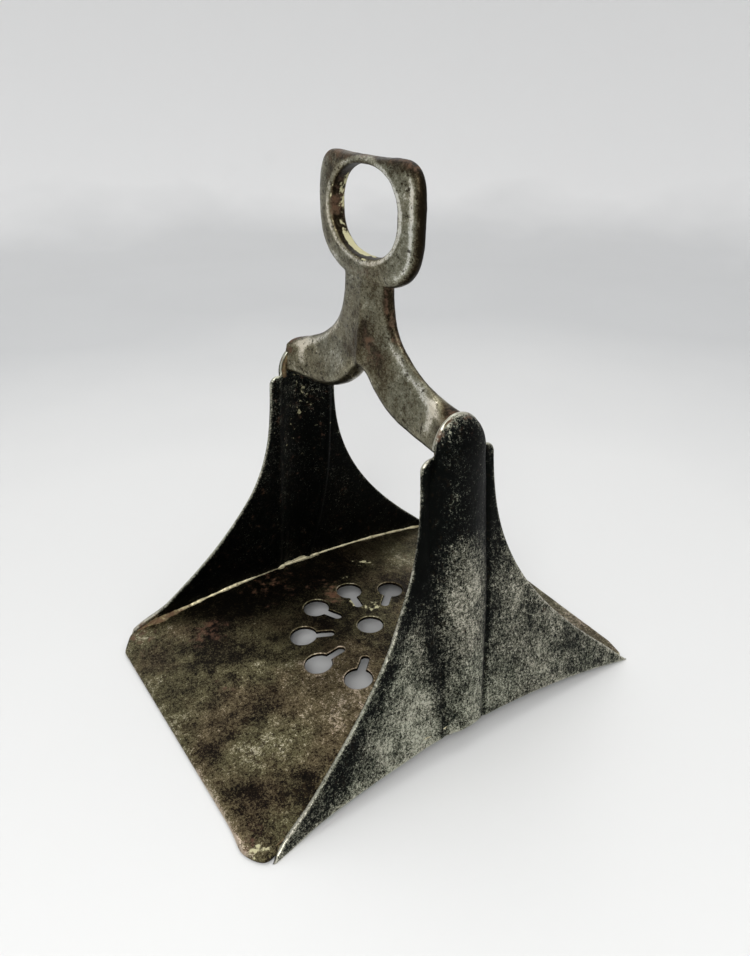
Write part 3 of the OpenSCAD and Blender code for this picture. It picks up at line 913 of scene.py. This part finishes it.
def eye(points, faces, caps, material):
    x, y, z = points.T
    turn = np.arctan2((z - EYE_OPEN_Z) / EYE_OPEN_H, x / EYE_OPEN_W)
    reach = np.hypot(x / EYE_OPEN_W, (z - EYE_OPEN_Z) / EYE_OPEN_H) * 2
    rim = resample(eye_outer(np.linspace(0, 2 * np.pi, 2000, endpoint=False)), 0.3)
    rim = np.column_stack([rim[:, 0], np.zeros(len(rim)), rim[:, 1]])
    to_rim = distance_to(np.column_stack([x, 0 * x, z]), rim)

    def around(direction, width):
        """1 where the ring runs in a direction from its middle, fading out to either side."""
        return bell(np.angle(np.exp(1j * (turn - direction))), width)

    wall = smooth((1.10 - reach) / 0.06)
    flank = np.exp(-to_rim / 0.9)
    # Painted highlight: a bright line round the front of the ring's outer part, strongest on the right limb,
    # which is also lighter as a whole.
    ridge = bell(to_rim - 2.4, 0.9)
    inner_ridge = smooth((1.20 - reach) / 0.05) * (1 - wall) + bell(np.abs(y) - 0.42 * EYE_T, 0.5) * wall
    below = smooth((EYE_BOTTOM + 5 - z) / 5)
    upper = smooth((z - EYE_TOP + 6) / 4)
    front_wall = wall * smooth((-y + 0.2) / 1.2) * (1 - inner_ridge)
    right, upper_left, left = around(0, 0.9), np.pi * 0.75, np.pi * 0.98
    worn = (0.02 + 0.42 * ridge * (1 - below) * (1 - 0.9 * upper) * (0.4 + right) + 0.42 * inner_ridge
            - 0.45 * wall - 0.7 * flank * (1 - below) * (0.25 + right) + 0.12 * around(0, 0.5)
            - 0.10 * upper - 0.12 * around(upper_left, 0.5))
    rust = (0.02 + 0.62 * wall * around(left, 0.5) + 0.40 * upper * (1 - smooth(to_rim / 3))
            + 0.20 * around(upper_left, 0.4) + 0.35 * spot(x, z, -1, EYE_BOTTOM + 3, math.sqrt(60)))
    residue = 0.85 + 1.30 * around(-np.pi * 0.64, 0.60) + 0.50 * around(np.pi * 0.90, 0.5)
    crust = -0.8 + wall * (1 - 0.8 * front_wall) * residue
    masks = {"worn": worn, "rust": rust, "crust": crust, "grain": np.column_stack([z, x, y])}
    make_piece("strap_eye_forging", as_forged(points), faces, material, ["strap_eye"], masks,
               caps)


# ---- Brazing ----

def tread_seam(side, material):
    """A run of braze in the corner between the footplate and a side plate."""
    rings, curve = 260, 9
    reach = WING_HY - 2.5
    y = np.linspace(-reach, reach, rings)
    z = arch_z(y, TREAD_HY) + TREAD_T
    x = wing_x(z) - SIDE_T
    line = np.column_stack([x, y, z])
    run = 1 + 0.35 * field(line, 9, 51 + side) + 0.25 * field(line, 2.6, 53 + side)
    swell = 0.95 + 0.35 * bell(y + 58, 9)
    taper = 0.12 + 0.88 * smooth((reach - np.abs(y)) / 9)
    leg = (SEAM_LEG * swell * np.clip(run, 0.5, 1.5) * taper)[:, None]
    q = np.linspace(0, np.pi / 2, curve)
    section_x = np.concatenate([-(1 - np.sin(q)), [0.5, 0.5]])
    section_z = np.concatenate([(1 - np.cos(q)), [1.0, -0.12]])
    points = np.stack([np.minimum(x[:, None] + leg * section_x, x[:, None] + 0.6),
                       y[:, None] + 0 * section_x, z[:, None] - 0.05 + leg * section_z], -1).reshape(-1, 3)
    points[:, 0] *= side
    front = smooth((-points[:, 1] - 40) / 20)
    masks = {"worn": 0.38 + 0.25 * field(points, 6, 55) - 0.5 * front, "rust": 0.05 + 0.55 * front,
             "crust": 0.05 - 0.3 * front, "grain": points}
    make_piece(f"{side_name(side)}_tread_seam", points, tube_faces(rings, curve + 2, False, side > 0),
               material, [f"{side_name(side)}_tread_braze"], masks)


def arm_seam(side, material):
    """A bead of braze in the crease between an arm's end and the rim of its thumb."""
    rings, sides = 120, 14
    offset = side * THUMB_OFFSET
    a = np.radians(np.linspace(-4, 184, rings))[:, None]
    b = (2 * np.pi * np.arange(sides) / sides)[None, :]
    ry, rz = THUMB_W / 2 - SIDE_T, THUMB_H - 0.4
    y, z = offset + ry * np.cos(a), SHOULDER_H + rz * np.sin(a)
    x = wing_x(z) - SIDE_T * 0.6
    r = BEAD_R * (0.9 + 0.12 * field(np.hstack([x, y, z]), 6, 61 + side))[:, None]
    points = np.stack([x + r * np.sin(b), offset + (ry + r * np.cos(b)) * np.cos(a),
                       SHOULDER_H + (rz + r * np.cos(b)) * np.sin(a)], -1).reshape(-1, 3)
    points[:, 0] *= side
    even = np.ones(len(points))
    masks = {"worn": -0.35 * even, "rust": 0.5 * even, "crust": -0.7 * even, "grain": points}
    make_piece(f"{side_name(side)}_arm_seam", points, tube_faces(rings, sides, False, side > 0), material,
               [f"{side_name(side)}_arm_braze"], masks)


# ---- The stirrup ----

side_steel = aged_steel("side_steel", SIDE_SHADES, (0.9, 1.3, 2.3, 1.5, 0.5), 0.39, 0.10, pitted=0.3,
                        tint=(0.94, 0.98, 0.96))
tread_steel = aged_steel("tread_steel", TREAD_SHADES, (0.6, 1.2, 1.3, 1.0, 0.0), 0.48, 1.0, pitted=0.8,
                         tint=(1.02, 0.90, 0.95))
bow_steel = aged_steel("bow_steel", BOW_SHADES, (0.5, 1.1, 0.9, 0.6, 0.2), 0.46, 0.3, rust=DARK_RUST,
                       dull=0.5, bright=0.20, pitted=0.85, tint=(1.0, 0.93, 0.84))
braze = aged_steel("braze", BRAZE_SHADES, (0.3, 0.7, 0.5, 0.2, 0.0), 0.45, 1.0, bright=0.4)

for side in (1, -1):
    side_plate(side, side_steel)
    tread_seam(side, braze)
    arm_seam(side, braze)
tread(tread_steel)
forging(bow_steel)


# ---- Floor, light and camera ----

FLOOR_RADIUS = 0.75
BEND_RADIUS = 0.45
# The cloth's colour by distance from the middle of the floor. It paints light and shade: paler near the
# stirrup to lift its shadow, darker further out and round the bend, paler up the wall.
CLOTH_SHADES = [(0.20, (0.64, 0.64, 0.63)), (0.50, (0.54, 0.545, 0.545)), (0.85, (0.605, 0.61, 0.61)),
                (1.0, (0.77, 0.77, 0.765))]


def pale_cloth():
    g = Graph("pale_cloth")
    place = g.node("ShaderNodeTexCoord").outputs["Object"]
    out = g.node("ShaderNodeVectorMath", {0: place}, operation="LENGTH").outputs["Value"]
    out = g.math("ADD", out, g.swing(g.noise(place, 5, 3, 0.5), 0.25))
    ripple = {"Strength": 0.12, "Distance": 0.004, "Height": g.noise(place, 3, 2, 0.5)}
    g.surface(g.ramp(out, CLOTH_SHADES), 0.9, ripple)
    return g.material


def sweep():
    """A pale floor that curves up into a backdrop on every side. This part is in metres."""
    bend = np.linspace(0, np.pi / 2, 24)
    profile = [(0.3, 0.0)]
    profile += [(FLOOR_RADIUS + BEND_RADIUS * math.sin(q), BEND_RADIUS * (1 - math.cos(q))) for q in bend]
    profile.append((FLOOR_RADIUS + BEND_RADIUS, 0.75))
    turns = 96
    points = [(r * math.cos(a), r * math.sin(a), z) for r, z in profile
              for a in np.linspace(0, 2 * math.pi, turns, endpoint=False)]
    ring, after = np.arange(turns), (np.arange(turns) + 1) % turns
    faces = [face for j in range(len(profile) - 1)
             for face in np.stack([ring, ring + turns, after + turns, after], -1) + turns * j]
    faces = [face.tolist() for face in faces] + [ring.tolist()]
    mesh = bpy.data.meshes.new("sweep")
    mesh.from_pydata(points, [], faces)
    mesh.polygons.foreach_set("use_smooth", np.ones(len(mesh.polygons), bool))
    mesh.materials.append(pale_cloth())
    floor = bpy.data.objects.new("sweep", mesh)
    bpy.context.scene.collection.objects.link(floor)


def soft_light(name, place, target, size, power):
    """A square light of a size and place in metres and a power in watts, turned to its target."""
    lamp = bpy.data.lights.new(name, "AREA")
    lamp.shape = "SQUARE"
    lamp.size = size
    lamp.energy = power
    made = bpy.data.objects.new(name, lamp)
    made.location = place
    made.rotation_euler = (Vector(target) - Vector(place)).to_track_quat("-Z", "Y").to_euler()
    bpy.context.scene.collection.objects.link(made)


def room():
    """Light from the room: paler towards the window side, behind and left of the stirrup, darker in front."""
    towards_window = (-0.62, 0.62, 0.48)
    dimmest, brightest = 0.56, 1.08
    world = bpy.data.worlds.new("room")
    world.use_nodes = True
    tree = world.node_tree
    direction = tree.nodes.new("ShaderNodeTexCoord").outputs["Generated"]
    facing = tree.nodes.new("ShaderNodeVectorMath")
    facing.operation = "DOT_PRODUCT"
    facing.inputs[1].default_value = towards_window
    blend = tree.nodes.new("ShaderNodeMapRange")
    for socket, value in zip(blend.inputs[1:5], (-0.6, 0.8, dimmest, brightest)):
        socket.default_value = value
    tree.links.new(direction, facing.inputs[0])
    tree.links.new(facing.outputs["Value"], blend.inputs[0])
    shade = tree.nodes["Background"]
    shade.inputs[0].default_value = (0.98, 0.985, 1.0, 1)
    tree.links.new(blend.outputs[0], shade.inputs[1])
    bpy.context.scene.world = world


def camera():
    """A view from above the right plate and the front edge, turned by degrees and placed in millimetres."""
    azimuth, elevation, roll = (math.radians(d) for d in (55.88, 26.97, -0.44))
    place = Vector((194.7, -130.3, 192.7)) * MM
    right = Vector((math.cos(azimuth), math.sin(azimuth), 0))
    back = Vector((math.sin(azimuth) * math.cos(elevation), -math.cos(azimuth) * math.cos(elevation),
                   math.sin(elevation)))
    up = back.cross(right)
    right, up = math.cos(roll) * right + math.sin(roll) * up, math.cos(roll) * up - math.sin(roll) * right
    lens = bpy.data.cameras.new("camera")
    lens.lens = 28.9
    lens.clip_start = 0.01
    made = bpy.data.objects.new("camera", lens)
    made.matrix_world = Matrix((right, up, back)).transposed().to_4x4()
    made.location = place
    bpy.context.scene.collection.objects.link(made)
    bpy.context.scene.camera = made


sweep()
camera()
soft_light("overhead", (-0.05, 0.00, 0.90), (0, 0, 0.05), 0.6, 1.4)
soft_light("window", (-0.75, 0.30, 0.95), (0, 0, 0.08), 0.5, 1.1)
soft_light("fill", (0.42, -0.34, 0.50), (0, 0, 0.02), 0.3, 2.9)
room()
bpy.context.scene.view_settings.view_transform = "Standard"
